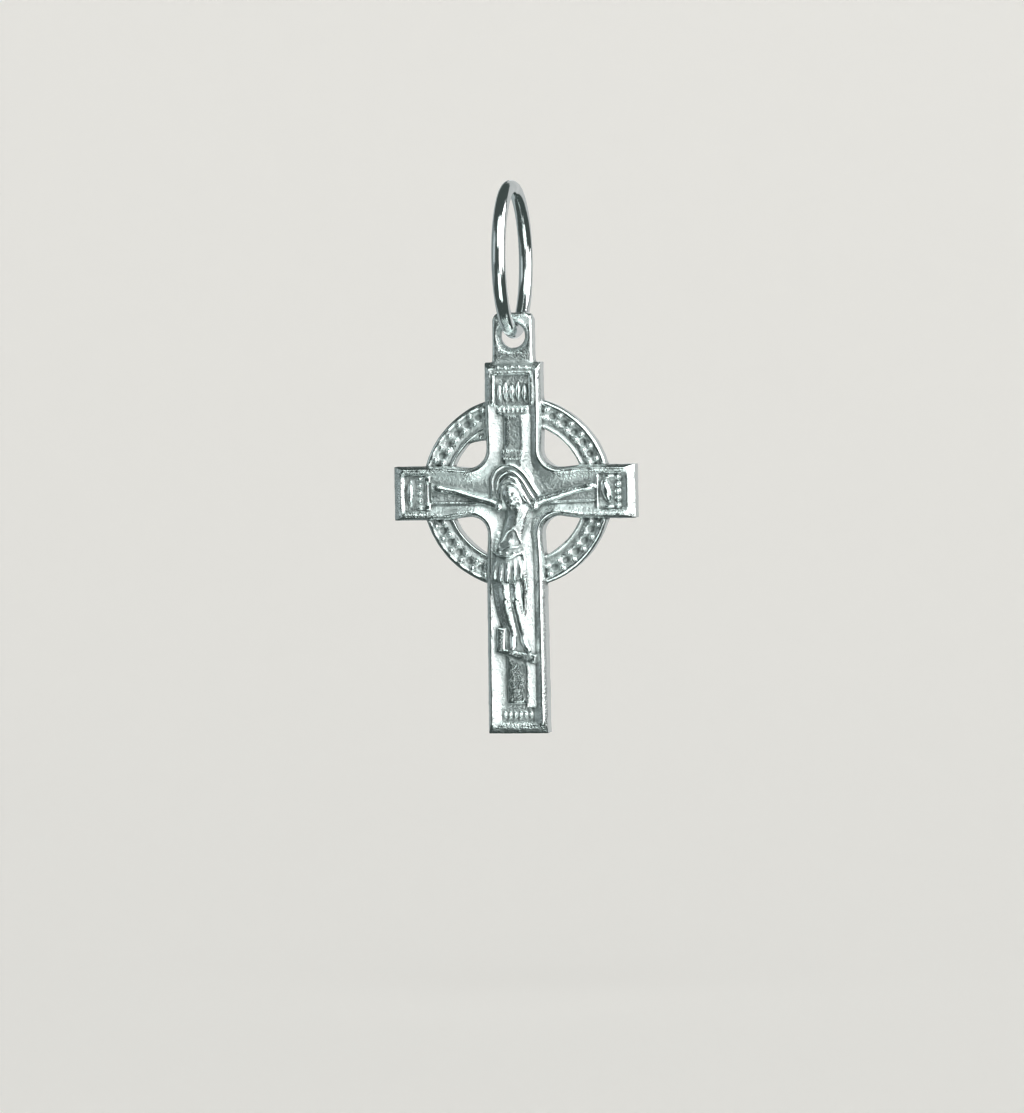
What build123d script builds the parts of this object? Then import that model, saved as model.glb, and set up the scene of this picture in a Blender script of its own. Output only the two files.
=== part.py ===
from build123d import *
import math
import os
from typing import NamedTuple

# A cast silver cross with a ring round its crossing and a figure in relief, hung from a round jump ring.
# Millimetres. +Z is up and the figure faces -Y. The origin is the top of the jump ring's opening,
# where a chain or cord bears.

# Jump ring
ring_bore = 7.40
ring_wire = 0.80
wire_sides = 16

# Eye in the tab on top of the cross
eye_bore = 1.36
eye_play = 0.05
eye_lip = 0.26
tab_width = 2.30
tab_thick = 1.10
tab_above_eye = 1.38
tab_below_eye = 1.50
tab_corner = 0.55

# Plate of the cross, its arms measured from their crossing
head_length = 7.38
foot_length = 13.70
reach = 6.95
bar_height = 3.06
head_width = 3.22
foot_width = 3.42
neck_height = 2.60
neck_width = 3.10
neck_radius = 1.05
cast_thick = 1.50
slope_rise = 0.42
slope_run = 0.34

# Ring round the crossing
band_outer = 5.45
band_inner = 3.92
band_thick = 0.86
window_corner = 0.28
rim_width = 0.26
rim_rise = 0.14
pit_width = 0.46
pit_depth = 0.30
pits_per_quarter = 5
pit_step = 9.2
pit_gap = 0.16

# Frame inside the slopes, and the sunk field within it
frame_width = 0.26
field_depth = 0.16
plaque_depth = 0.30
end_plaque_length = 1.25
head_plaque_height = 1.70
head_plaque_drop = 0.28
foot_plaque_height = 0.72
gadroons = 4
leaf_width = 0.50
pellets = 5
ornament_gap = 0.10
ornament_rise = 0.30

# Narrow cross of beams, raised from the field behind the figure
beam_width = 1.00
beam_rise = 0.24
beam_head = 4.50
beam_foot = 12.00
beam_reach = 4.75
title_width = 1.55
title_height = 0.55
title_up = 1.72
rest_length = 2.50
rest_height = 0.62
rest_rise = 0.42
rest_drop = 9.05
rest_slant = 20.0

# Figure, as lengths down from the crossing, across the shaft and out from the field
figure_length = 8.95
figure_sway = 0.50
body_width = 2.10
figure_relief = 0.74
arm_width = 0.98
shoulder_drop = 0.62
shoulder_half = 0.78
hand_drop = 0.06
arm_length = 3.80
head_long = 1.62
head_wide = 1.12
head_tilt = 28.0
halo_radius = 1.40
halo_rise = 0.34

back_y = tab_thick / 2
ring_radius = (ring_bore + ring_wire) / 2
ring_centre_z = -ring_bore / 2
wire_low_z = ring_centre_z - ring_radius
eye_z = wire_low_z - (eye_bore - ring_wire) / 2 + eye_play
cross_z = eye_z - tab_below_eye - head_length
field_level = cast_thick - field_depth
plaque_level = cast_thick - plaque_depth
pit_circle = band_outer - rim_width - pit_gap - pit_width / 2
frame_inset = slope_run + frame_width
head_field = head_width - 2 * frame_inset
foot_field = foot_width - 2 * frame_inset
slope_taper = math.degrees(math.atan2(slope_run, slope_rise))
tab_top = head_length + tab_below_eye + tab_above_eye
tab_root = head_length - frame_inset


class Slice(NamedTuple):
    """One oval slice of the body, as shares of figure_length, figure_sway, body_width and figure_relief."""

    down: float
    side: float
    wide: float
    high: float


class ArmSlice(NamedTuple):
    """One oval slice of an arm, as shares of arm_length, arm_width and figure_relief."""

    along: float
    wide: float
    high: float


trunk = [
    Slice(down=0.050, side=0.00, wide=0.70, high=0.45),
    Slice(down=0.115, side=0.00, wide=0.82, high=0.85),
    Slice(down=0.220, side=-0.20, wide=0.70, high=0.95),
    Slice(down=0.330, side=-0.55, wide=0.58, high=0.72),
    Slice(down=0.430, side=-0.75, wide=0.78, high=0.85),
]
cloth = [
    Slice(down=0.370, side=-0.65, wide=0.84, high=0.92),
    Slice(down=0.450, side=-0.75, wide=1.00, high=1.10),
    Slice(down=0.575, side=-0.90, wide=0.92, high=1.12),
]
near_leg = [
    Slice(down=0.540, side=-1.70, wide=0.46, high=0.88),
    Slice(down=0.680, side=-1.36, wide=0.42, high=1.00),
    Slice(down=0.830, side=-0.84, wide=0.37, high=0.80),
    Slice(down=0.930, side=-0.30, wide=0.28, high=0.66),
]
far_leg = [
    Slice(down=0.540, side=-0.20, wide=0.40, high=0.94),
    Slice(down=0.680, side=-0.04, wide=0.36, high=1.04),
    Slice(down=0.830, side=0.34, wide=0.32, high=0.86),
    Slice(down=0.930, side=0.74, wide=0.26, high=0.70),
]
near_foot = [
    Slice(down=0.900, side=-0.34, wide=0.26, high=0.74),
    Slice(down=1.000, side=-0.20, wide=0.32, high=0.94),
]
far_foot = [
    Slice(down=0.900, side=0.70, wide=0.26, high=0.74),
    Slice(down=1.000, side=1.10, wide=0.32, high=0.94),
]
arm = [
    ArmSlice(along=0.00, wide=0.52, high=0.72),
    ArmSlice(along=0.30, wide=0.50, high=0.66),
    ArmSlice(along=0.72, wide=0.58, high=0.62),
    ArmSlice(along=1.00, wide=0.84, high=0.60),
]


def face(height):
    """Plane parallel to the cross, at a height off its flat back: local x is +X and local y is +Z."""
    return Plane(origin=(0, back_y - height, cross_z), x_dir=(1, 0, 0), z_dir=(0, -1, 0))


def half_width(z):
    """Half the width of the shaft at a height above the crossing. It widens evenly down to the foot."""
    share = (head_length - z) / (head_length + foot_length)
    return (head_width + (foot_width - head_width) * share) / 2


def outline_points():
    """Corners of the cross, anticlockwise from the foot's right-hand corner, narrowed at the crossing."""
    arm = bar_height / 2
    right = [
        (half_width(-foot_length), -foot_length),
        (half_width(-band_inner), -band_inner),
        (neck_width / 2, -neck_height / 2),
        (band_inner, -arm),
        (reach, -arm),
        (reach, arm),
        (band_inner, arm),
        (neck_width / 2, neck_height / 2),
        (half_width(band_inner), band_inner),
        (half_width(head_length), head_length),
    ]
    left = [(-x, z) for x, z in reversed(right)]
    return right + left


def is_armpit(vertex):
    """True for the four corners next to the crossing, where two arms meet."""
    return abs(vertex.X) < band_inner and abs(vertex.Y) < bar_height / 2


def is_far(vertex):
    """True for the window corners that lie on the inside of the ring."""
    return math.hypot(vertex.X, vertex.Y) > band_inner - window_corner


def level(s):
    """Level plane of a body slice, its centre on the sunk field: local x is +X and local y is +Y."""
    x = s.side * figure_sway
    z = cross_z - s.down * figure_length
    return Plane(origin=(x, back_y - field_level, z), x_dir=(1, 0, 0), z_dir=(0, 0, 1))


def across(s, hand):
    """Plane across an arm on the hand side, its centre on the sunk field: local x is +Z."""
    x = hand * (shoulder_half + s.along * arm_length)
    z = cross_z - shoulder_drop + s.along * (shoulder_drop - hand_drop)
    return Plane(origin=(x, back_y - field_level, z), x_dir=(0, 0, 1), z_dir=(1, 0, 0))


with BuildPart() as jump_ring:
    with BuildSketch(Plane.XZ):
        with Locations((0, wire_low_z)):
            RegularPolygon(ring_wire / 2, wire_sides)
    revolve(axis=Axis((0, 0, ring_centre_z), (1, 0, 0)))

# Outline of the cross with rounded armpits, and the four windows that it leaves open within the ring
with BuildSketch() as footprint:
    with BuildLine():
        Polyline(*outline_points(), close=True)
    make_face()
    fillet(footprint.vertices().filter_by(is_armpit), neck_radius)
with BuildSketch() as windows:
    Circle(band_inner)
    add(footprint.sketch, mode=Mode.SUBTRACT)
    fillet(windows.vertices().filter_by(is_far), window_corner)

with BuildPart() as cross:
    # Ring with a rim on each edge and a row of square pits between the rims
    with BuildSketch(face(0)):
        Circle(band_outer)
        add(windows.sketch, mode=Mode.SUBTRACT)
    extrude(amount=band_thick)
    with BuildSketch(face(band_thick)):
        Circle(band_outer)
        Circle(band_outer - rim_width, mode=Mode.SUBTRACT)
        Circle(band_inner + rim_width)
        add(windows.sketch, mode=Mode.SUBTRACT)
        Circle(band_inner - window_corner, mode=Mode.SUBTRACT)
    extrude(amount=rim_rise)
    with BuildSketch(face(band_thick)):
        for quarter in range(4):
            first = 45 + 90 * quarter - pit_step * (pits_per_quarter - 1) / 2
            with PolarLocations(pit_circle, pits_per_quarter, first, pit_step * pits_per_quarter):
                Rectangle(pit_width, pit_width)
    extrude(amount=-pit_depth, mode=Mode.SUBTRACT)

    # Arms, with a slope all round their edges and a sunk field inside the frame
    with BuildSketch(face(0)):
        add(footprint.sketch)
    extrude(amount=cast_thick - slope_rise)
    with BuildSketch(face(cast_thick - slope_rise)):
        add(footprint.sketch)
    extrude(amount=slope_rise, taper=slope_taper)
    with BuildSketch(face(cast_thick)):
        add(footprint.sketch)
        offset(amount=-frame_inset)
    extrude(amount=-field_depth, mode=Mode.SUBTRACT)

    # Tab with its eye
    with BuildSketch(face(0)) as tab:
        with Locations((0, (tab_top + tab_root) / 2)):
            Rectangle(tab_width, tab_top - tab_root)
        fillet(tab.vertices().group_by(Axis.Y)[-1], tab_corner)
    extrude(amount=tab_thick)
    with BuildSketch(face(0)):
        with Locations((0, head_length + tab_below_eye)):
            Circle(eye_bore / 2)
    extrude(amount=tab_thick, mode=Mode.SUBTRACT)
    eye_edges = cross.edges().filter_by(GeomType.CIRCLE)
    fillet(eye_edges.filter_by(lambda e: abs(e.arc_center.Z - eye_z) < eye_play), eye_lip)

    # Four plaques, sunk below the field, each with raised ornament
    end_centre = reach - frame_inset - end_plaque_length / 2
    end_height = bar_height - 2 * frame_inset
    head_centre = head_length - frame_inset - head_plaque_drop - head_plaque_height / 2
    foot_centre = -foot_length + frame_inset + foot_plaque_height / 2
    with BuildSketch(face(field_level)):
        with Locations((-end_centre, 0), (end_centre, 0)):
            Rectangle(end_plaque_length, end_height)
        with Locations((0, head_centre)):
            Rectangle(head_field, head_plaque_height)
        with Locations((0, foot_centre)):
            Rectangle(foot_field, foot_plaque_height)
    extrude(amount=plaque_level - field_level, mode=Mode.SUBTRACT)
    gadroon_step = head_field / gadroons
    pellet_step = foot_field / pellets
    with BuildSketch(face(plaque_level)):
        with Locations((-end_centre, 0), (end_centre, 0)):
            SlotOverall(end_height - 2 * ornament_gap, leaf_width, rotation=90)
        with Locations((0, head_centre)):
            with GridLocations(gadroon_step, 0, gadroons, 1):
                SlotOverall(head_plaque_height - 2 * ornament_gap, gadroon_step - ornament_gap, rotation=90)
        with Locations((0, foot_centre)):
            with GridLocations(pellet_step, 0, pellets, 1):
                Circle((pellet_step - ornament_gap) / 2)
    extrude(amount=ornament_rise)

    # Narrow cross of beams, its title board and its slanted footrest
    with BuildSketch(face(field_level)):
        with Locations((0, (beam_head - beam_foot) / 2)):
            Rectangle(beam_width, beam_head + beam_foot)
        Rectangle(2 * beam_reach, beam_width)
        with Locations((0, title_up)):
            Rectangle(title_width, title_height)
    extrude(amount=beam_rise)
    with BuildSketch(face(field_level)):
        with Locations((0, -rest_drop)):
            Rectangle(rest_length, rest_height, rotation=-rest_slant)
    extrude(amount=rest_rise)

    # Halo, and the head leaning in front of it
    with BuildSketch(face(field_level)):
        Circle(halo_radius)
    extrude(amount=halo_rise, taper=slope_taper / 2)
    head_plane = face(field_level + halo_rise).rotated((0, 0, head_tilt))
    with BuildSketch(head_plane):
        Ellipse(head_wide / 2, head_long / 2)
        split(bisect_by=Plane.YZ)
    revolve(axis=Axis(head_plane.origin, head_plane.y_dir))

    # Trunk, cloth, legs and feet, then the two arms
    for limb in (trunk, cloth, near_leg, far_leg, near_foot, far_foot):
        for s in limb:
            with BuildSketch(level(s)):
                Ellipse(s.wide * body_width / 2, s.high * figure_relief)
        loft()
    for hand in (-1, 1):
        for s in arm:
            with BuildSketch(across(s, hand)):
                Ellipse(s.wide * arm_width / 2, s.high * figure_relief)
        loft()

os.makedirs("parts", exist_ok=True)
cross.part.label = "cross"
export_step(cross.part, "parts/cross.step")
jump_ring.part.label = "jump_ring"
export_step(jump_ring.part, "parts/jump_ring.step")
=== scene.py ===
# %% [markdown]
# An orthodox cross pendant in cast silver, hanging from a round jump ring.
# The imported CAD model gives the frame: where the ring hangs, how the cross sways, and how large both are.
# Here the cross gets its relief and both pieces get their metal.

# %% Load the frame
import bpy
import math
import numpy as np
from mathutils import Matrix, Quaternion, Vector


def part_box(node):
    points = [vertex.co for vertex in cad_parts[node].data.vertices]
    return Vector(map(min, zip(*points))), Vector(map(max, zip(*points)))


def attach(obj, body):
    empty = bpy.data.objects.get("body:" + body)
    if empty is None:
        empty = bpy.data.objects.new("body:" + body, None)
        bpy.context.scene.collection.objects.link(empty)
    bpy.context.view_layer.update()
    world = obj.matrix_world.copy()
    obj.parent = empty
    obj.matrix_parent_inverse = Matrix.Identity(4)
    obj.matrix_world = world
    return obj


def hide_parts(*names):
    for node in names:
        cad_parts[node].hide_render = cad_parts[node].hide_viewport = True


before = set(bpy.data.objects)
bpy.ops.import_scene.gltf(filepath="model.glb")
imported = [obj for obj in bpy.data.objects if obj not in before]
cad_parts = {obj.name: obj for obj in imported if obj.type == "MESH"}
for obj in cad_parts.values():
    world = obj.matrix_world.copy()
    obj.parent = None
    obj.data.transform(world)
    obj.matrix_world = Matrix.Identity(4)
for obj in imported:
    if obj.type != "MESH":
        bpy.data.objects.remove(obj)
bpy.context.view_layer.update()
cross_low, cross_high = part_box("cross")
ring_low, ring_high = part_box("jump_ring")
print("cross", [round((b - a) * 1000, 2) for a, b in zip(cross_low, cross_high)], "mm")

# %% [markdown]
# The relief is only tenths of a millimetre high, and Blender's tools are happier with sizes near 1.
# So the cross is modelled lying flat on a bench, at 1 unit to the millimetre: x to the right, y up the
# shaft, z off its flat back. Its crossing is the bench's origin. At the end it is scaled and stood up.

# %% Sizes on the bench, in millimetres
MM = 0.001
# From the crossing to the top, to the foot and to each hand.
head_length, foot_length, reach = 7.38, 13.70, 6.95
# The shaft's width at its top and foot, and the height of the bar.
head_width, foot_width, bar_height = 3.22, 3.42, 3.06
# The armpits stand this far apart and are turned at this radius.
neck_width, neck_height, neck_radius = 3.10, 2.60, 1.05
# The ring's inner radius and how far its centre lies to the right of the crossing.
band_inner, band_shift = 3.92, 0.06
# Slabs start just under the plate's skin; strands are pressed flat towards the field.
sunk_in, field = 1.10, 1.22
back_y = cross_high[1]
cross_z = cross_low[2] + foot_length * MM
clay = []


def half_width(y):
    """Half the shaft's width at a height above the crossing; it widens towards the foot."""
    share = (head_length - y) / (head_length + foot_length)
    return (head_width + (foot_width - head_width) * share) / 2


print("crossing at", round(cross_z * 1000, 2), "mm, back at", round(back_y * 1000, 2), "mm")

# %% [markdown]
# A few helpers do the bench work. Each makes one closed lump of clay from a primitive or a curve. A lump
# may sink into its neighbours, because all of them are fused into one skin later.

# %% Helpers: select nothing, one piece, or a copy of it
def clear():
    """Go to object mode with nothing selected."""
    if bpy.context.object and bpy.context.object.mode != "OBJECT":
        bpy.ops.object.mode_set(mode="OBJECT")
    bpy.ops.object.select_all(action="DESELECT")


def take(piece):
    """Select one piece alone and make it active."""
    clear()
    piece.select_set(True)
    bpy.context.view_layer.objects.active = piece


def copy_of(piece):
    """A copy with its own mesh."""
    take(piece)
    bpy.ops.object.duplicate()
    return bpy.context.object


def edit_all():
    """Go to edit mode with the whole piece selected."""
    bpy.ops.object.mode_set(mode="EDIT")
    bpy.ops.mesh.select_all(action="SELECT")


def close_up():
    """Merge the doubles of a spun piece, turn its faces outwards and leave edit mode."""
    bpy.ops.mesh.select_all(action="SELECT")
    bpy.ops.mesh.remove_doubles(threshold=0.001)
    bpy.ops.mesh.normals_make_consistent(inside=False)
    bpy.ops.object.mode_set(mode="OBJECT")


# %% Helper: a slab that is cut out flat, pulled up and stepped in
def slab(corners, low, high, steps=()):
    """A flat piece with the given corners, anticlockwise. Each step is an inset and a lift of its top."""
    clear()
    bpy.ops.mesh.primitive_circle_add(vertices=len(corners), radius=1, fill_type="NGON")
    piece = bpy.context.object
    for vertex, (x, y) in zip(piece.data.vertices, corners):
        vertex.co = (x, y, low)
    edit_all()
    bpy.ops.mesh.extrude_region_move(TRANSFORM_OT_translate={"value": (0, 0, high - low)})
    for width, lift in steps:
        bpy.ops.mesh.inset(thickness=width, depth=lift)
    bpy.ops.object.mode_set(mode="OBJECT")
    clay.append(piece)
    return piece


def rounded(corners, radii, arc=6):
    """The same outline with each corner turned round at its own radius."""
    line = []
    for i, corner in enumerate(corners):
        here = Vector(corner)
        back = (Vector(corners[i - 1]) - here).normalized()
        ahead = (Vector(corners[(i + 1) % len(corners)]) - here).normalized()
        if radii[i] == 0:
            line.append(tuple(here))
            continue
        half = back.angle(ahead) / 2
        middle = here + (back + ahead).normalized() * radii[i] / math.sin(half)
        first = here + back * radii[i] / math.tan(half) - middle
        last = here + ahead * radii[i] / math.tan(half) - middle
        turn = first.angle_signed(last)
        for k in range(arc + 1):
            spoke = first.copy()
            spoke.rotate(Matrix.Rotation(-turn * k / arc, 2))
            line.append(tuple(middle + spoke))
    return line


def plate(x0, x1, y0, y1, low, high, steps=()):
    """A slab with four square corners."""
    return slab([(x0, y0), (x1, y0), (x1, y1), (x0, y1)], low, high, steps)


def ramp(corners):
    """A slab whose top leans: each corner has its own lift."""
    flat_top = sunk_in + 0.1
    piece = slab([(x, y) for x, y, lift in corners], sunk_in, flat_top)
    for vertex in piece.data.vertices:
        if vertex.co.z > (sunk_in + flat_top) / 2:
            x, y = vertex.co.x, vertex.co.y
            vertex.co.z = min(corners, key=lambda c: (c[0] - x) ** 2 + (c[1] - y) ** 2)[2]


# %% Helper: a strand that follows a curve
def strand(knots, flat=1.0, closed=False):
    """A round strand through knots of x, y, lift and radius, then pressed flat towards the field."""
    clear()
    line = bpy.data.curves.new("strand", "CURVE")
    line.dimensions = "3D"
    line.resolution_u = 5
    line.bevel_depth = 1
    line.bevel_resolution = 2
    line.use_fill_caps = True
    spline = line.splines.new("BEZIER")
    spline.bezier_points.add(len(knots) - 1)
    for point, (x, y, lift, radius) in zip(spline.bezier_points, knots):
        point.co = (x, y, lift)
        point.radius = radius
        point.handle_left_type = point.handle_right_type = "AUTO"
    spline.use_cyclic_u = closed
    piece = bpy.data.objects.new("strand", line)
    bpy.context.scene.collection.objects.link(piece)
    take(piece)
    bpy.ops.object.convert(target="MESH")
    piece = bpy.context.object
    if flat != 1.0:
        edit_all()
        bpy.ops.transform.resize(value=(1, 1, flat), center_override=(0, 0, field))
        bpy.ops.object.mode_set(mode="OBJECT")
    clay.append(piece)


# %% Helper: a bead, round or oval
clear()
bpy.ops.mesh.primitive_uv_sphere_add(segments=14, ring_count=9, radius=1)
bead_mould = bpy.context.object


def bead(x, y, lift, size, turn=0.0):
    """A copy of the bead mould; size is its three half-sizes and turn its angle, in degrees."""
    piece = copy_of(bead_mould)
    piece.location = (x, y, lift)
    piece.rotation_euler = (0, 0, math.radians(turn))
    piece.scale = size
    bpy.context.view_layer.update()
    clay.append(piece)
    return piece


# %% Helper: a profile spun about an upright axis
def spun(profile, x, y, steps):
    """A closed profile of radius and lift, spun once round the point x, y."""
    clear()
    bpy.ops.mesh.primitive_circle_add(vertices=len(profile), radius=1, fill_type="NOTHING")
    piece = bpy.context.object
    for vertex, (radius, lift) in zip(piece.data.vertices, profile):
        vertex.co = (x + radius, y, lift)
    edit_all()
    bpy.ops.mesh.spin(steps=steps, angle=2 * math.pi, center=(x, y, 0), axis=(0, 0, 1))
    close_up()
    clay.append(piece)
    return piece


# %% Helper: apply a modifier, and cut one piece with another
def apply_modifier(kind, **values):
    """Add a modifier to the active piece and apply it."""
    modifier = bpy.context.object.modifiers.new("step", kind)
    for name, value in values.items():
        setattr(modifier, name, value)
    bpy.ops.object.modifier_apply(modifier="step")


def cut(piece, tool):
    """Take the tool's shape out of the piece."""
    clay.remove(tool)
    take(piece)
    apply_modifier("BOOLEAN", operation="DIFFERENCE", solver="EXACT", object=tool)
    bpy.data.objects.remove(tool)


# %% [markdown]
# The plate of the cross has one outline: four arms with rounded armpits. Its rim rises in a slope to a
# thin crest and falls in a hollow to the field. Insets of one face give exactly that, because each one
# keeps its distance from the outline all the way round. A bevel would only round the edge.

# %% The plate with its sloped rim and hollow field
arm = bar_height / 2
right_side = [
    (half_width(-foot_length), -foot_length, 0),
    (half_width(-band_inner), -band_inner, 0),
    (neck_width / 2 - 0.03, -neck_height / 2 + 0.08, neck_radius - 0.08),
    (band_inner, -arm, 0),
    (reach, -arm, 0),
    (reach, arm, 0),
    (band_inner, arm, 0),
    (neck_width / 2, neck_height / 2, neck_radius),
    (half_width(band_inner), band_inner, 0),
    (half_width(head_length), head_length, 0),
]
whole = right_side + [(-x, y, r) for x, y, r in reversed(right_side)]
outline = rounded([(x, y) for x, y, r in whole], [r for x, y, r in whole], arc=10)
rim_foot = 1.11
rim_and_hollow = [
    (0.15, 0.34), (0.05, 0.05), (0.09, 0.0), (0.05, -0.05), (0.20, -0.12), (0.24, -0.12), (0.20, -0.05),
]
body = slab(outline, 0, rim_foot, rim_and_hollow)
print("plate outline has", len(outline), "corners")

# %% Wider slopes at the ends, and sunk plaques
def plane_off(x, y, about_x, about_y, degrees=38):
    """Plane an edge of the plate down at an angle, with a block as the tool."""
    tilt = math.radians(degrees)
    out = Vector((about_y * math.sin(tilt), -about_x * math.sin(tilt), math.cos(tilt)))
    block, edge_lift = 4, 1.28
    clear()
    bpy.ops.mesh.primitive_cube_add(
        size=block, location=Vector((x, y, edge_lift)) + out * block / 2, rotation=(about_x * tilt, about_y * tilt, 0))
    clay.append(bpy.context.object)
    cut(body, bpy.context.object)


plane_off(6.70, 0, 0, 1)
plane_off(-6.72, 0, 0, -1)
plane_off(0, 7.16, -1, 0, 50)
plane_off(-1.56, 6.95, 0, -1)
plane_off(0, -13.44, 1, 0)
above_all = 2
for x0, x1, y0, y1, floor_lift in (
        (-6.32, -5.10, -1.02, 1.02, 1.14), (4.86, 6.22, -1.02, 1.02, 1.22),
        (-0.98, 0.98, 4.95, 6.66, 1.13), (-0.95, 0.95, -13.02, -12.26, 1.15)):
    cut(body, plate(x0, x1, y0, y1, floor_lift, above_all))
print("plate has", len(body.data.polygons), "faces")

# %% [markdown]
# The ring round the crossing is a band between two rims, with a row of round pits sunk in it and a pair of
# beads between each two pits. The band is one profile spun round the crossing. The pits are cut with one
# tool, which is a row of oval beads joined into one.

# %% The ring
ring_profile = [
    (3.90, 0.0), (5.45, 0.0), (5.46, 0.78), (5.41, 0.92), (5.30, 0.98), (5.20, 0.94), (5.14, 0.84), (5.06, 0.80),
    (4.50, 0.80), (4.38, 0.78), (4.24, 0.74), (4.14, 0.76), (4.08, 0.86), (4.00, 0.86), (3.94, 0.74),
]
band = spun(ring_profile, band_shift, 0, 160)
quarters = [45, 135, 225, 315]
pit_step = 9.2
pits_per_quarter = 7


def on_band(radius, degrees):
    """A place on the ring."""
    return band_shift + radius * math.cos(math.radians(degrees)), radius * math.sin(math.radians(degrees))


def row(count):
    """Steps to each side of a quarter's middle, one for each of a number of things in a row."""
    return [pit_step * (k - (count - 1) / 2) for k in range(count)]


pits = []
for middle in quarters:
    for step in row(pits_per_quarter):
        pits.append(bead(*on_band(4.78, middle + step), 0.90, (0.24, 0.26, 0.27), middle + step))
for pit in pits[1:]:
    clay.remove(pit)
clear()
for pit in pits:
    pit.select_set(True)
bpy.context.view_layer.objects.active = pits[0]
bpy.ops.object.join()
cut(band, bpy.context.object)
for middle in quarters:
    for step in row(pits_per_quarter - 1):
        bead(*on_band(5.01, middle + step), 0.83, (0.17, 0.18, 0.20), middle + step)
        bead(*on_band(4.55, middle + step), 0.81, (0.15, 0.16, 0.18), middle + step)
print("ring has", len(pits), "pits and", len(clay) - 2, "beads")

# %% [markdown]
# The upper left window was cast narrower than the others. A strand that fades out along the ring fills it.

# %% The narrow window
strand([(-1.40, 3.38, 0.48, 0.42), (-1.90, 3.28, 0.48, 0.37), (-2.35, 3.10, 0.48, 0.26), (-2.70, 2.86, 0.48, 0.12)])

# %% [markdown]
# On top sits a tab with the eye for the jump ring, swollen at both upper corners. The eye's lips are worn
# round, so its cutter is narrow in the middle and flares at both faces.

# %% The tab and its eye
eye_y = 8.88
tab_outline = rounded(
    [(-1.26, 6.85), (1.26, 6.85), (1.16, 7.75), (1.15, 10.26), (0.35, 10.19), (-0.35, 10.19), (-1.15, 10.26),
     (-1.16, 7.75)],
    [0, 0, 0, 0.52, 0.6, 0.6, 0.52, 0])
tab = slab(tab_outline, 0, 0.96, [(0.04, 0.08), (0.07, 0.05)])
bead(0.98, 9.84, 0.66, (0.20, 0.32, 0.48))
bead(-0.92, 9.90, 0.62, (0.20, 0.24, 0.42))
eye_profile = [
    (0.0, -0.2), (1.02, -0.2), (0.94, 0.04), (0.80, 0.16), (0.71, 0.33), (0.68, 0.55), (0.71, 0.77),
    (0.80, 0.94), (0.94, 1.06), (1.02, 1.3), (0.0, 1.3),
]
cut(tab, spun(eye_profile, 0, eye_y, 48))
print("eye at", eye_y, "mm above the crossing")

# %% [markdown]
# The narrow cross stands up from the hollow field: a flat beam up the shaft, the title board, and a sunk
# bar that widens to a wedge at each hand, with an arm along its upper edge and a thin cord along its lower.
# To the right of the beam the field leans, so it catches the window's light there, as the real one does.

# %% Beams, title board and bars
edge = [(0.03, 0.03)]
beam_top, bar_top = 1.42, 1.24
plate(-0.48, 0.54, 2.40, 4.36, sunk_in, beam_top, edge)
plate(-0.52, 0.60, -12.00, -9.0, sunk_in, beam_top, edge)
plate(-0.46, 0.46, -9.2, 2.40, sunk_in, beam_top - 0.02, edge)
plate(-0.67, 0.67, 1.84, 2.42, sunk_in, 1.50, edge)
slab([(-4.80, -0.56), (-1.0, -0.64), (-1.0, -0.22), (-4.80, 0.54)], sunk_in, bar_top, edge)
slab([(4.70, 0.50), (1.0, -0.22), (1.0, -0.64), (4.70, -0.50)], sunk_in, bar_top, edge)
strand([(-4.84, -0.54, 1.34, 0.08), (-3.0, -0.58, 1.34, 0.08), (-1.2, -0.62, 1.36, 0.08)])
strand([(4.76, -0.48, 1.34, 0.08), (3.0, -0.54, 1.34, 0.08), (1.2, -0.62, 1.36, 0.08)])
for line in range(2):
    for k in range(6):
        bead(-0.5 + 0.2 * k, 2.0 + 0.25 * line, 1.52, (0.075, 0.085, 0.06))

# %% Footrest with its bracket
slab([(-1.12, -8.80), (-1.12, -9.06), (1.10, -9.72), (1.18, -9.22)], sunk_in, 1.60, edge)
slab([(-1.10, -8.95), (-0.62, -9.1), (-0.58, -7.72), (-1.06, -7.62)], sunk_in, 1.56, [(0.05, 0.06)])
slab([(-0.66, -9.1), (-0.10, -9.2), (-0.10, -7.7), (-0.62, -7.7)], sunk_in, 1.42, edge)

# %% The leaning field
ramp([(0.50, 2.3, 1.55), (1.20, 2.3, 1.22), (1.20, 4.4, 1.22), (0.50, 4.4, 1.55)])
ramp([(0.40, 1.1, 1.46), (1.14, 1.1, 1.16), (1.20, 2.35, 1.22), (0.42, 2.35, 1.57)])
ramp([(0.59, -12.2, 1.53), (1.25, -12.2, 1.22), (1.25, -4.0, 1.22), (0.55, -4.0, 1.53)])
ramp([(0.45, -4.1, 1.56), (1.25, -4.1, 1.22), (1.20, -1.3, 1.16), (0.40, -1.2, 1.42)])
print("narrow cross done,", len(clay), "lumps")

# %% [markdown]
# Each end carries a small sunk plaque. Its ornament is plain and the builder's own: a row of drops on the
# head, a leaf and beads at each hand, and beads on the foot.

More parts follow.
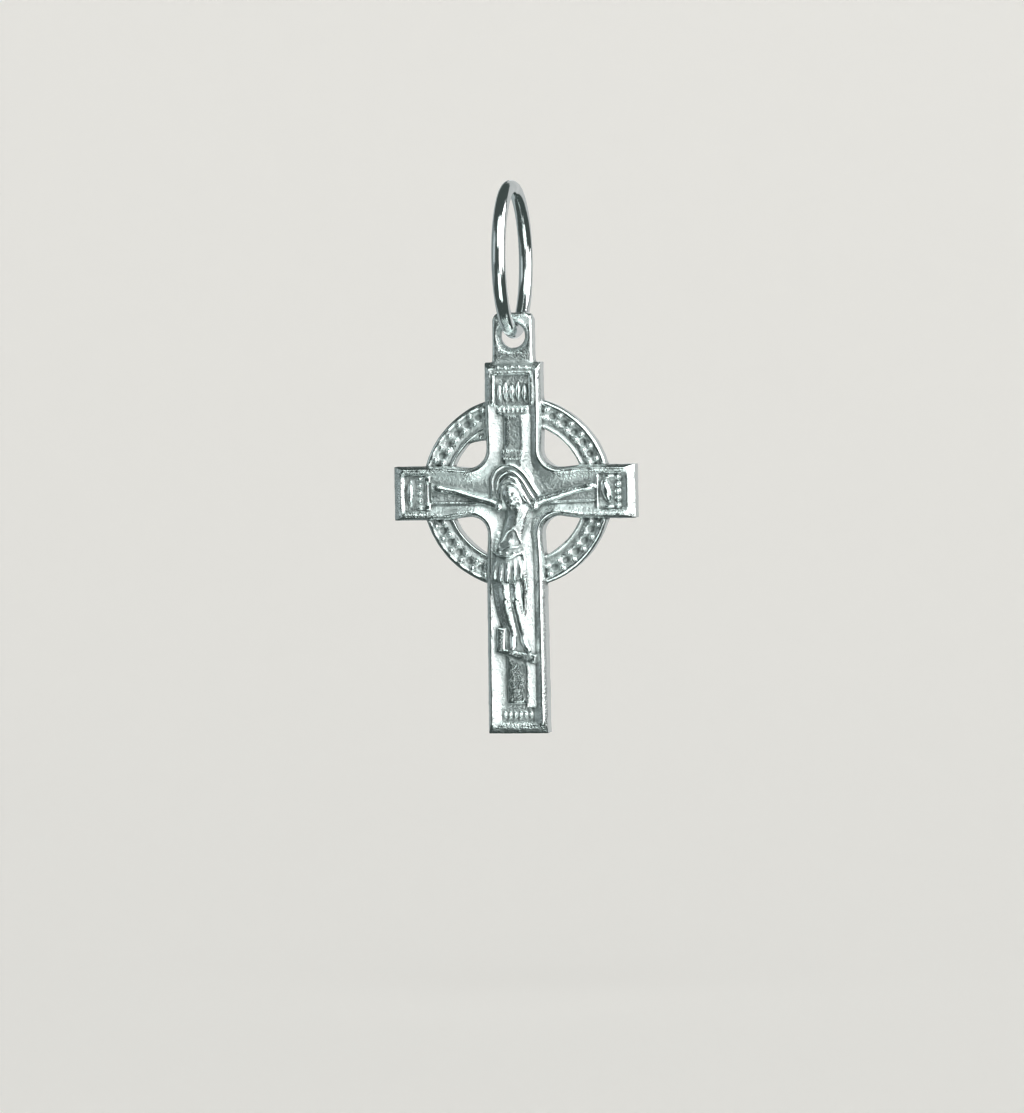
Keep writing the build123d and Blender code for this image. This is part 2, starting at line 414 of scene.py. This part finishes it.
# %% The head plaque, its frame and its bands of beads
for side in (-1, 1):
    strand([(side * 1.12, 4.9, 1.34, 0.1), (side * 1.12, 5.1, 1.37, 0.16), (side * 1.10, 6.5, 1.37, 0.16),
            (side * 1.08, 6.8, 1.34, 0.1)])
strand([(-1.1, 6.76, 1.36, 0.12), (0, 6.76, 1.36, 0.13), (1.1, 6.76, 1.36, 0.12)])
for k in range(5):
    taller = k % 2
    bead(-0.72 + 0.36 * k, 5.66 + 0.10 * taller, 1.20, (0.155, 0.54 + 0.08 * taller, 0.26))
plate(-0.92, 0.92, 4.40, 4.93, sunk_in, 1.30, edge)
for k in range(7):
    bead(-0.78 + 0.26 * k, 4.68, 1.34, (0.12, 0.15, 0.12))
for k in range(5):
    bead(-0.8 + 0.4 * k, 7.13, 1.30, (0.10, 0.08, 0.12))

# %% The left plaque
strand([(-6.00, -0.74, 1.14, 0.04), (-5.99, -0.4, 1.24, 0.18), (-5.98, 0.0, 1.26, 0.22), (-5.99, 0.4, 1.24, 0.18),
        (-6.00, 0.74, 1.14, 0.04)])
for y in (-0.42, 0.0, 0.42):
    bead(-5.46, y, 1.16, (0.15, 0.16, 0.16))
for y in (-0.82, 0.82):
    bead(-5.46, y, 1.16, (0.22, 0.11, 0.14))
plate(-5.10, -4.90, -0.95, 0.95, sunk_in, 1.38, [(0.04, 0.05)])
for y in (-0.78, 0.78):
    plate(-5.16, -4.80, y - 0.18, y + 0.18, sunk_in, 1.44, [(0.05, 0.05)])

# %% The right plaque and the foot plaque
bead(5.36, 0.04, 1.24, (0.30, 0.72, 0.38), 14)
for k in range(5):
    bead(5.98, -0.8 + 0.4 * k, 1.25, (0.17, 0.17, 0.20))
for y in (-0.86, 0.86):
    bead(5.46, y, 1.22, (0.34, 0.10, 0.16))
plate(4.72, 4.88, -0.95, 0.95, sunk_in, 1.36, [(0.04, 0.05)])
for k in range(6):
    bead(-0.75 + 0.30 * k, -12.64, 1.14, (0.12, 0.20, 0.18))
print("plaques done,", len(clay), "lumps")

# %% [markdown]
# The figure leans in a gentle bend: shoulders to the right, hips to the left, feet back again. Its
# trunk, legs and arms are thick strands, and trunk and arms are pressed flat, because a cast relief keeps
# only the front half.

# %% Trunk, hips and left flank
strand([(0.30, -0.55, 1.25, 0.45), (0.28, -0.95, 1.3, 0.80), (0.24, -1.4, 1.32, 0.70), (0.06, -2.0, 1.3, 0.70),
        (-0.08, -2.5, 1.28, 0.70), (-0.2, -3.07, 1.28, 0.76), (-0.27, -3.6, 1.26, 0.8)], flat=0.80)
strand([(-0.24, -3.2, 1.3, 0.72), (-0.29, -3.6, 1.3, 0.90), (-0.33, -4.2, 1.32, 0.97), (-0.36, -4.9, 1.3, 0.92),
        (-0.36, -5.05, 1.3, 0.80)], flat=0.74)
strand([(-0.95, -2.2, 1.14, 0.20), (-1.06, -3.0, 1.18, 0.32), (-1.12, -4.2, 1.18, 0.36), (-1.08, -5.2, 1.18, 0.34)])

# %% Legs, knees and feet
strand([(-1.02, -4.8, 1.20, 0.44), (-0.92, -5.5, 1.22, 0.42), (-0.80, -6.4, 1.24, 0.40), (-0.60, -7.3, 1.22, 0.32),
        (-0.34, -8.1, 1.20, 0.22)])
strand([(-0.66, -4.8, 1.35, 0.42), (-0.60, -5.5, 1.46, 0.38), (-0.50, -6.2, 1.54, 0.36), (-0.38, -6.9, 1.46, 0.31),
        (-0.22, -7.6, 1.42, 0.26), (-0.08, -8.2, 1.42, 0.20)])
strand([(0.02, -4.8, 1.40, 0.38), (0.05, -5.5, 1.46, 0.35), (0.12, -6.2, 1.54, 0.34), (0.22, -6.9, 1.44, 0.29),
        (0.34, -7.6, 1.40, 0.25), (0.46, -8.2, 1.40, 0.20)])
strand([(-0.20, -8.1, 1.42, 0.18), (-0.14, -8.5, 1.52, 0.22), (-0.14, -8.86, 1.6, 0.20), (-0.18, -9.0, 1.55, 0.10)])
strand([(0.40, -8.1, 1.42, 0.18), (0.52, -8.5, 1.52, 0.21), (0.76, -8.92, 1.6, 0.19), (0.90, -9.08, 1.55, 0.09)])
bead(-0.50, -6.05, 1.86, (0.20, 0.24, 0.10))
bead(0.12, -6.05, 1.84, (0.18, 0.22, 0.10))

# %% Shoulders, arms and hands
for side, armpit in ((-1, -0.62), (1, 1.12)):
    strand([(armpit * 0.6, -0.80, 1.45, 0.24), (armpit, -0.78, 1.52, 0.28), (side * 1.5, -0.48, 1.50, 0.26),
            (side * 2.4, -0.22, 1.47, 0.25), (side * 3.1, 0.01, 1.46, 0.24), (side * 3.9, 0.19, 1.45, 0.22),
            (side * 4.2, 0.25, 1.46, 0.24), (side * 4.5, 0.30, 1.45, 0.23), (side * 4.70, 0.34, 1.42, 0.09)], flat=0.85)
bead(-0.80, -0.86, 1.62, (0.22, 0.24, 0.22))
bead(1.24, -0.84, 1.62, (0.20, 0.20, 0.22))

# %% Chest and belly
for x in (0.02, 0.48):
    bead(x, -1.40, 1.55, (0.30, 0.28, 0.28))
strand([(-0.86, -3.10, 1.68, 0.07), (-0.54, -2.58, 1.78, 0.075), (-0.20, -2.14, 1.86, 0.075),
        (0.12, -2.10, 1.87, 0.075), (0.30, -2.50, 1.82, 0.075), (0.44, -2.94, 1.74, 0.07),
        (-0.20, -3.10, 1.90, 0.075)], closed=True)
bead(-0.22, -2.78, 1.88, (0.09, 0.10, 0.08))
strand([(-0.04, -1.86, 1.76, 0.05), (-0.24, -1.94, 1.72, 0.065), (-0.38, -1.90, 1.58, 0.05)])

# %% Belt and loincloth
strand([(-1.18, -3.34, 1.50, 0.09), (-0.85, -3.52, 1.80, 0.10), (-0.3, -3.66, 1.93, 0.11), (0.25, -3.50, 1.82, 0.10),
        (0.62, -3.28, 1.52, 0.09)])
for x, y in ((-0.75, -3.36), (-0.40, -3.42), (0.02, -3.42)):
    bead(x, y, 1.88, (0.11, 0.08, 0.09))
folds = [
    (-0.92, -1.12, -4.86, 1.76), (-0.60, -0.74, -5.02, 1.90), (-0.26, -0.33, -5.08, 1.96), (0.08, 0.08, -4.98, 1.90),
    (0.36, 0.42, -4.84, 1.76),
]
for x0, x1, hem, rise in folds:
    strand([(x0, -3.74, rise - 0.10, 0.06), ((x0 + x1) / 2, hem + 0.8, rise, 0.11), (x1, hem + 0.12, rise - 0.02, 0.15),
            (x1, hem, rise - 0.10, 0.08)])
    bead(x1, hem + 0.02, rise - 0.08, (0.16, 0.13, 0.14))
strand([(0.56, -3.35, 1.6, 0.10), (0.60, -4.0, 1.66, 0.14), (0.62, -4.7, 1.6, 0.13), (0.66, -5.2, 1.5, 0.11),
        (0.68, -5.66, 1.38, 0.05)])
print("trunk, limbs and loincloth done,", len(clay), "lumps")

# %% [markdown]
# A plain disc lies behind the head, and long hair falls over it to one side in three broad rolls. They are
# strands laid side by side along the fall of the hair: a texture would vanish at the edges.

# %% Halo and hair
slab(rounded([(-1.36, -0.7), (1.2, -0.7), (1.2, 1.62), (-1.36, 1.62)], [0.7, 0.8, 1.1, 1.1]),
     sunk_in, 1.36, [(0.08, 0.05)])
slab([(0.1, 1.35), (-0.2, 0.2), (0.2, -1.02), (1.3, -1.02), (1.8, -0.45), (1.15, 0.6)], sunk_in, 1.39, [(0.08, 0.05)])
locks = [
    [(-1.22, 0.10), (-1.18, 0.85), (-0.78, 1.40), (-0.16, 1.54), (0.44, 1.22), (0.88, 0.66), (1.24, 0.08),
     (1.66, -0.38)],
    [(-0.96, -0.05), (-0.90, 0.62), (-0.58, 1.06), (-0.12, 1.18), (0.34, 0.88), (0.70, 0.38), (1.02, -0.16),
     (1.36, -0.58)],
    [(-0.70, -0.25), (-0.66, 0.36), (-0.42, 0.74), (-0.06, 0.84), (0.28, 0.54), (0.54, 0.06), (0.80, -0.42),
     (1.06, -0.78)],
]
thick, thin = 0.115, 0.07
for depth, lock in enumerate(locks):
    ends = (0, len(lock) - 1)
    lift = 1.44 + 0.075 * depth
    strand([(x, y, lift, thin if k in ends else thick) for k, (x, y) in enumerate(lock)])

# %% [markdown]
# The face is the builder's own and calm: eyes closed half-way down the head, the nose ending half-way
# from the eyes to the chin, the mouth a third below it. It is laid out on the head's own axes, so the
# whole head can lean together. The eye sockets are cut first, so the lids lie in shadow.

# %% Helpers for the head
head_x, head_y, lean, grow = -0.06, -0.24, math.radians(26), 1.2


def on_head(a, b):
    """A place on the bench from a step across the face and a step up it."""
    a, b = a * grow, b * grow
    return (head_x + a * math.cos(lean) - b * math.sin(lean), head_y + a * math.sin(lean) + b * math.cos(lean))


def face_bead(a, b, lift, size):
    """A bead on the face, turned with the head."""
    x, y = on_head(a, b)
    return bead(x, y, lift, (size[0] * grow, size[1] * grow, size[2]), math.degrees(lean))


def face_strand(knots):
    """A strand on the face."""
    strand([on_head(a, b) + (lift, radius) for a, b, lift, radius in knots])


# %% Head, brow, nose, lips and chin
skull = face_bead(0, 0.10, 1.54, (0.46, 0.60, 0.44))
for side in (-1, 1):
    cut(skull, face_bead(side * 0.18, 0.05, 1.99, (0.15, 0.10, 0.17)))
face_bead(0, -0.20, 1.50, (0.36, 0.46, 0.40))
face_bead(0, 0.56, 1.46, (0.44, 0.34, 0.26))
face_bead(0, 0.30, 1.84, (0.31, 0.15, 0.15))
face_strand([(-0.30, 0.17, 1.88, 0.06), (-0.15, 0.21, 1.94, 0.075), (0.15, 0.21, 1.94, 0.075),
             (0.30, 0.17, 1.88, 0.06)])
face_strand([(0, 0.20, 1.98, 0.07), (0, 0.02, 2.04, 0.085), (0, -0.12, 2.08, 0.11), (0, -0.18, 2.02, 0.07)])
face_bead(0, -0.36, 1.93, (0.12, 0.055, 0.07))
face_bead(0, -0.60, 1.72, (0.17, 0.26, 0.14))

# %% Lids, cheeks, moustache, hair and beard on both sides of the face, and the neck
for side in (-1, 1):
    face_bead(side * 0.18, 0.04, 1.84, (0.11, 0.055, 0.09))
    face_bead(side * 0.22, -0.14, 1.82, (0.15, 0.12, 0.13))
    face_strand([(side * 0.02, -0.25, 1.99, 0.06), (side * 0.13, -0.29, 1.96, 0.07), (side * 0.26, -0.42, 1.84, 0.05)])
    face_strand([(side * 0.02, 0.66, 1.70, 0.09), (side * 0.30, 0.54, 1.76, 0.12), (side * 0.48, 0.22, 1.70, 0.12),
                 (side * 0.51, -0.12, 1.62, 0.12), (side * 0.48, -0.46, 1.56, 0.08)])
    face_strand([(side * 0.33, -0.20, 1.76, 0.08), (side * 0.28, -0.44, 1.76, 0.10), (side * 0.12, -0.74, 1.68, 0.08)])
strand([(0.22, -0.75, 1.42, 0.24), (0.28, -1.15, 1.5, 0.30)])
bpy.data.objects.remove(bead_mould)
print("figure done,", len(clay), "lumps")

# %% [markdown]
# Casting makes one skin of it all. Voxel Remesh does the same here: it fuses the lumps and softens
# every inner corner, as molten metal and tumbling do. A light Smooth takes the voxel steps away, and
# Displace adds the slow unevenness of a thing that was once wax.

# %% Fuse and soften the cast cross
clear()
for piece in clay:
    piece.select_set(True)
bpy.context.view_layer.objects.active = body
bpy.ops.object.join()
cast = bpy.context.object
cast.name = "cast_cross"
cast.data.name = "cast_cross"
bpy.ops.object.transform_apply(location=True, rotation=True, scale=True)
apply_modifier("REMESH", mode="VOXEL", voxel_size=0.032, adaptivity=0)
print("fused skin:", len(cast.data.polygons), "faces")
apply_modifier("SMOOTH", factor=0.5, iterations=3)
waves = bpy.data.textures.new("hand_waves", "CLOUDS")
waves.noise_scale = 0.7
waves.noise_depth = 2
apply_modifier("DISPLACE", texture=waves, texture_coords="LOCAL", strength=0.05, mid_level=0.5)

# %% [markdown]
# Old polish stays smooth on the high places; the low ones are rougher and get painted shade, a darker colour. A copy of
# the skin is smoothed until the relief melts away. How far each point sank or rose says how deep it lies, and that
# share is stored
# on the mesh for the silver to read later: 0 is deep, 0.5 level and 1 high. The plain back and the walls
# get one share each, because they were only tumbled.

# %% Measure the recesses
melted = copy_of(cast)
apply_modifier("SMOOTH", factor=0.9, iterations=90)
before = np.empty(len(cast.data.vertices) * 3)
after = np.empty_like(before)
normals = np.empty_like(before)
cast.data.vertices.foreach_get("co", before)
melted.data.vertices.foreach_get("co", after)
cast.data.vertices.foreach_get("normal", normals)
sunk = ((after - before) * normals).reshape(-1, 3).sum(axis=1)
share = np.clip(0.5 - sunk * 4, 0, 1)
facing, lift = normals.reshape(-1, 3)[:, 2], before.reshape(-1, 3)[:, 2]
back_share, wall_share = 0.7, 0.64
share[facing < -0.5] = back_share
share[(np.abs(facing) < 0.35) & (lift < sunk_in) & (share > 0.45)] = wall_share
recess = cast.data.color_attributes.new("recess", "FLOAT_COLOR", "POINT")
recess.data.foreach_set("color", np.repeat(share, 4))
print("recess shares", [round(float(v), 2) for v in np.percentile(share, range(0, 101, 10))])
bpy.data.objects.remove(melted)

# %% [markdown]
# The fused skin has far more faces than it needs on its flat places. Decimate takes them away there and
# keeps them where the relief is.

# %% Thin the skin
most_triangles = 190000
take(cast)
triangles = sum(len(p.vertices) - 2 for p in cast.data.polygons)
apply_modifier("DECIMATE", decimate_type="COLLAPSE", ratio=min(1, most_triangles / triangles))
print("thinned skin:", len(cast.data.polygons), "faces")

# %% Stand a piece up in the frame
def stand_up(piece):
    """Turn a bench piece upright, scale it to metres and put it where the frame has it."""
    take(piece)
    piece.rotation_euler = (math.pi / 2, 0, 0)
    piece.scale = (MM, MM, MM)
    piece.location = (0, back_y, cross_z)
    bpy.ops.object.transform_apply(location=True, rotation=True, scale=True)
    bpy.ops.object.shade_smooth()


stand_up(cast)

# %% [markdown]
# The jump ring is drawn wire, closed and soldered. One round of wire is spun about the ring's axis. The
# solder seam is a hairline groove, made by drawing one round of the wire in a little.

# %% The jump ring
wire = (ring_high[0] - ring_low[0]) / MM
ring_out = (ring_high[2] - ring_low[2]) / MM / 2
ring_y = ((ring_high[2] + ring_low[2]) / 2 - cross_z) / MM
ring_lift = back_y / MM
clear()
bpy.ops.mesh.primitive_circle_add(vertices=28, radius=wire / 2)
ring = bpy.context.object
ring.name = "soldered_ring"
ring.data.name = "soldered_ring"
edit_all()
bpy.ops.transform.translate(value=(0, ring_out - wire / 2, 0))
bpy.ops.mesh.spin(steps=288, angle=2 * math.pi, center=(0, 0, 0), axis=(1, 0, 0))
bpy.ops.mesh.select_all(action="SELECT")
bpy.ops.transform.translate(value=(0, ring_y, ring_lift))
close_up()
seam_angle, seam_width, drawn_in = math.radians(-140), math.radians(0.6), 0.955
for vertex in ring.data.vertices:
    spoke = Vector((vertex.co.y - ring_y, vertex.co.z - ring_lift))
    if abs(math.atan2(spoke.y, spoke.x) - seam_angle) < seam_width:
        middle = spoke.normalized() * (ring_out - wire / 2)
        near = middle + (spoke - middle) * drawn_in
        vertex.co = (vertex.co.x * drawn_in, ring_y + near.x, ring_lift + near.y)
stand_up(ring)
print("ring", round(wire, 2), "mm wire,", round(2 * ring_out, 2), "mm across")

# %% [markdown]
# Silver is one metal with two finishes here. What both share goes into node groups: a fine grain for
# the surface, and slow smudges where fingers have dulled it.

# %% Helpers for nodes
def group(name, inputs, outputs):
    """A new shader node group with float inputs and outputs."""
    tree = bpy.data.node_groups.new(name, "ShaderNodeTree")
    for label, value in inputs:
        socket = tree.interface.new_socket(name=label, in_out="INPUT", socket_type="NodeSocketFloat")
        socket.default_value = value
    for label in outputs:
        tree.interface.new_socket(name=label, in_out="OUTPUT", socket_type="NodeSocketFloat")
    return tree, tree.nodes.new("NodeGroupInput"), tree.nodes.new("NodeGroupOutput")


def placed(tree, shared, **values):
    """A node group put in a material with its own values."""
    node = tree.nodes.new("ShaderNodeGroup")
    node.node_tree = shared
    for name, value in values.items():
        node.inputs[name.replace("_", " ").capitalize()].default_value = value
    return node.outputs[0]


def noise(tree, source, scale, detail, stretch=(1, 1, 1)):
    """Noise on the piece's own coordinates, with its scale linked from a socket."""
    place = tree.nodes.new("ShaderNodeTexCoord")
    turn = tree.nodes.new("ShaderNodeMapping")
    turn.inputs["Scale"].default_value = stretch
    tree.links.new(place.outputs["Object"], turn.inputs["Vector"])
    node = tree.nodes.new("ShaderNodeTexNoise")
    node.inputs["Detail"].default_value = detail
    tree.links.new(turn.outputs["Vector"], node.inputs["Vector"])
    tree.links.new(source.outputs[scale], node.inputs["Scale"])
    return node.outputs["Fac"]


def ranged(tree, source, start, end, low, high):
    """A value that runs from low to high while its source runs from start to end."""
    node = tree.nodes.new("ShaderNodeMapRange")
    for label, value in (("From Min", start), ("From Max", end), ("To Min", low), ("To Max", high)):
        node.inputs[label].default_value = value
    tree.links.new(source, node.inputs["Value"])
    return node.outputs["Result"]


def mixed(tree, mask, first, second):
    """A colour between two, by a mask. The first may be a colour or another node's output."""
    node = tree.nodes.new("ShaderNodeMix")
    node.data_type = "RGBA"
    if isinstance(first, tuple):
        node.inputs[6].default_value = first
    else:
        tree.links.new(first, node.inputs[6])
    node.inputs[7].default_value = second
    tree.links.new(mask, node.inputs[0])
    return node.outputs[2]


def times(tree, first, second, plus=None):
    """A product of an output and a number or a second output, plus a third output if given."""
    node = tree.nodes.new("ShaderNodeMath")
    node.operation = "MULTIPLY_ADD" if plus else "MULTIPLY"
    tree.links.new(first, node.inputs[0])
    if isinstance(second, float):
        node.inputs[1].default_value = second
    else:
        tree.links.new(second, node.inputs[1])
    if plus:
        tree.links.new(plus, node.inputs[2])
    return node.outputs[0]


# %% Node group: fine grain
grain_tree, grain_in, grain_out = group("fine_grain", [("Grain scale", 9000.0), ("Pore scale", 3500.0)], ["Height"])
specks = noise(grain_tree, grain_in, "Grain scale", 3)
pores = noise(grain_tree, grain_in, "Pore scale", 1)
grain_tree.links.new(times(grain_tree, specks, 1.6, pores), grain_out.inputs["Height"])

# %% Node group: slow smudges
smudge_tree, smudge_in, smudge_out = group("smudges", [("Smudge scale", 700.0)], ["Mask"])
cloud = noise(smudge_tree, smudge_in, "Smudge scale", 5, (1, 1, 0.6))
smudge_tree.links.new(ranged(smudge_tree, cloud, 0.38, 0.66, 0.0, 1.0), smudge_out.inputs["Mask"])

# %% [markdown]
# The cast silver reads the recess share in three ways: deep places get painted shade, a darker colour, and are rougher,
# level ones keep their grain, and high ones are rubbed smooth. The drawn wire is plain and bright all over.

# %% Helper: the silver itself
def silver(name, bright, dull, smooth, rough, grain, bump, distance, deep=None):
    """Silver from a bright to a dull colour and a smooth to a rough finish, with painted shade, a darker colour, where
    it is deep.
    """
    material = bpy.data.materials.new(name)
    material.use_nodes = True
    tree = material.node_tree
    shader = tree.nodes["Principled BSDF"]
    shader.inputs["Metallic"].default_value = 1.0
    smudged = placed(tree, smudge_tree)
    relief = placed(tree, grain_tree, grain_scale=grain, pore_scale=grain * 0.4)
    colour = mixed(tree, smudged, bright, dull)
    finish = ranged(tree, smudged, 0.0, 1.0, smooth, rough)
    if deep:
        attribute = tree.nodes.new("ShaderNodeAttribute")
        attribute.attribute_name = "recess"
        share = attribute.outputs["Fac"]
        # Painted shade: the deep places are mixed towards the dark deep colour, and their finish is also made rougher.
        painted_shade = ranged(tree, share, 0.54, 0.18, 0.0, 1.0)
        polish = ranged(tree, share, 0.62, 0.47, 0.62, 1.0)
        wear = ranged(tree, share, 0.62, 0.45, 0.22, 1.0)
        colour = mixed(tree, painted_shade, colour, deep)
        finish = times(tree, times(tree, painted_shade, 0.25, finish), polish)
        relief = times(tree, relief, wear)
    height = tree.nodes.new("ShaderNodeBump")
    height.inputs["Strength"].default_value = bump
    height.inputs["Distance"].default_value = distance
    tree.links.new(relief, height.inputs["Height"])
    tree.links.new(height.outputs["Normal"], shader.inputs["Normal"])
    tree.links.new(colour, shader.inputs["Base Color"])
    tree.links.new(finish, shader.inputs["Roughness"])
    return material


# %% The two silvers
# Painted shade: the deep colour darkens the recesses of the cast silver.
cast_silver = silver("cast_silver", (0.88, 0.92, 0.91, 1), (0.76, 0.81, 0.80, 1), smooth=0.21, rough=0.38,
                     grain=9000, bump=1.0, distance=0.000035, deep=(0.10, 0.12, 0.115, 1))
drawn_silver = silver("drawn_silver", (0.88, 0.91, 0.91, 1), (0.78, 0.82, 0.82, 1), smooth=0.08, rough=0.2,
                      grain=5000, bump=0.3, distance=0.00001)
for piece, material in ((cast, cast_silver), (ring, drawn_silver)):
    piece.data.materials.clear()
    piece.data.materials.append(material)
    print(piece.name, "is", material.name)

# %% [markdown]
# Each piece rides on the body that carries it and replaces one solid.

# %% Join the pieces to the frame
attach(cast, "cross_body")
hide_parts("cross")
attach(ring, "ring_body")
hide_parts("jump_ring")

# %% [markdown]
# A wide pale bowl stands in for the table and the wall, so every view has the same plain ground. It is a
# small disc whose edge is pulled out and up along a quarter circle.

# %% Floor
flat, bend, bend_steps = 0.22, 0.9, 30
clear()
bpy.ops.mesh.primitive_circle_add(
    vertices=96, radius=flat, fill_type="NGON", location=(0, 0, cross_low[2] - 0.015))
floor = bpy.context.object
floor.name = "pale_floor"
bpy.ops.object.mode_set(mode="EDIT")
bpy.ops.mesh.select_mode(type="EDGE")
bpy.ops.mesh.select_all(action="SELECT")
bpy.ops.mesh.region_to_loop()
for k in range(bend_steps):
    before, after = math.pi / 2 * k / bend_steps, math.pi / 2 * (k + 1) / bend_steps
    wider = (flat + bend * math.sin(after)) / (flat + bend * math.sin(before))
    bpy.ops.mesh.extrude_edges_move(
        TRANSFORM_OT_translate={"value": (0, 0, bend * (math.cos(before) - math.cos(after)))})
    bpy.ops.transform.resize(value=(wider, wider, 1), center_override=(0, 0, 0))
bpy.ops.mesh.extrude_edges_move(TRANSFORM_OT_translate={"value": (0, 0, 1.0)})
bpy.ops.mesh.select_all(action="SELECT")
bpy.ops.mesh.normals_make_consistent(inside=False)
bpy.ops.object.mode_set(mode="OBJECT")
bpy.ops.object.shade_smooth()
bpy.ops.object.transform_apply(location=True, rotation=True, scale=True)

# %% Paper on the floor
paper = bpy.data.materials.new("pale_paper")
paper.use_nodes = True
sheet = paper.node_tree.nodes["Principled BSDF"]
sheet.inputs["Base Color"].default_value = (0.80, 0.79, 0.77, 1)
sheet.inputs["Roughness"].default_value = 0.9
sheet.inputs["Emission Color"].default_value = (0.80, 0.79, 0.77, 1)
sheet.inputs["Emission Strength"].default_value = 0.30
floor.data.materials.clear()
floor.data.materials.append(paper)
floor.visible_glossy = False

# %% [markdown]
# The camera stands a little to the right and above, far off with a long lens, at the photograph's angle
# and scale. The crossing's place in the picture and the pixels to a millimetre fix where it looks.

# %% Camera
azimuth, elevation, roll = math.radians(11), math.radians(2.0), math.radians(1.0)
picture_width, picture_height = 1024, 1113
pixel = MM / 17.6
crossing_right, crossing_down = 516.5, 492
crossing = Vector((0, back_y - 0.49 * MM, cross_z))


def outwards(azimuth, elevation):
    """The direction from the cross towards something at an angle round it and an angle up."""
    flat_part = math.cos(elevation)
    return Vector((math.sin(azimuth) * flat_part, -math.cos(azimuth) * flat_part, math.sin(elevation)))


away = outwards(azimuth, elevation)
look = (-away).to_track_quat("-Z", "Y") @ Quaternion((0, 0, 1), -roll)
aim = crossing + look @ Vector(
    ((picture_width / 2 - crossing_right) * pixel, (crossing_down - picture_height / 2) * pixel, 0))
clear()
bpy.ops.object.camera_add()
camera = bpy.context.object
camera.data.lens = 200
camera.data.sensor_width = 36
camera.data.clip_start = 0.01
camera.rotation_mode = "QUATERNION"
camera.rotation_quaternion = look
camera.location = aim + away * picture_height * pixel * camera.data.lens / camera.data.sensor_width
bpy.context.scene.camera = camera
print("camera", round((camera.location - crossing).length, 3), "m away")

# %% [markdown]
# Silver shows what stands round it, so the lamps are large and soft. A window to the right gives the white
# slopes, two soft ones above and below the camera give the grey ones, and what faces the camera stays
# dark. The lamps light the silver alone; a sun and the paper's own glow light the floor.

# %% Lamps for the silver
def lamp(name, azimuth, elevation, size, glow, colour=(1, 1, 1)):
    """A soft square lamp 0.6 m from the crossing and facing it."""
    out = outwards(math.radians(azimuth), math.radians(elevation))
    clear()
    bpy.ops.object.light_add(type="AREA", location=crossing + out * 0.6)
    light = bpy.context.object
    light.name = name
    light.data.size = size
    light.data.energy = glow * math.pi * size * size
    light.data.color = colour
    light.rotation_euler = out.to_track_quat("Z", "Y").to_euler()
    light.visible_camera = False
    light.visible_diffuse = False


lamp("right_window", 80, 24, 0.68, 2.6)
lamp("right_soft", 43, 4, 0.48, 1.7)
lamp("overhead", 15, 41, 0.48, 2.3, (0.90, 1.0, 0.98))
lamp("low_front", 15, -40, 0.46, 1.9, (0.90, 1.0, 0.98))
lamp("left_front", -60, 14, 0.35, 0.45, (0.88, 0.98, 1.0))
lamp("left_fill", -85, 5, 0.5, 0.22, (0.85, 0.97, 1.0))
lamp("behind", 160, 8, 0.7, 0.5)
lamp("behind_left", -145, -8, 0.7, 0.35, (0.88, 0.98, 1.0))

# %% Light for the floor, and the dim room
clear()
bpy.ops.object.light_add(type="SUN", location=(0, 0, 0.8))
daylight = bpy.context.object
daylight.name = "floor_light"
daylight.data.energy = 0.8
daylight.data.angle = math.radians(60)
daylight.rotation_euler = (math.radians(35), 0, 0)
daylight.visible_glossy = False
world = bpy.data.worlds.new("studio")
bpy.context.scene.world = world
world.use_nodes = True
room = world.node_tree.nodes["Background"]
room.inputs["Color"].default_value = (0.06, 0.076, 0.072, 1)
room.inputs["Strength"].default_value = 1.0
bpy.context.scene.view_settings.view_transform = "Standard"
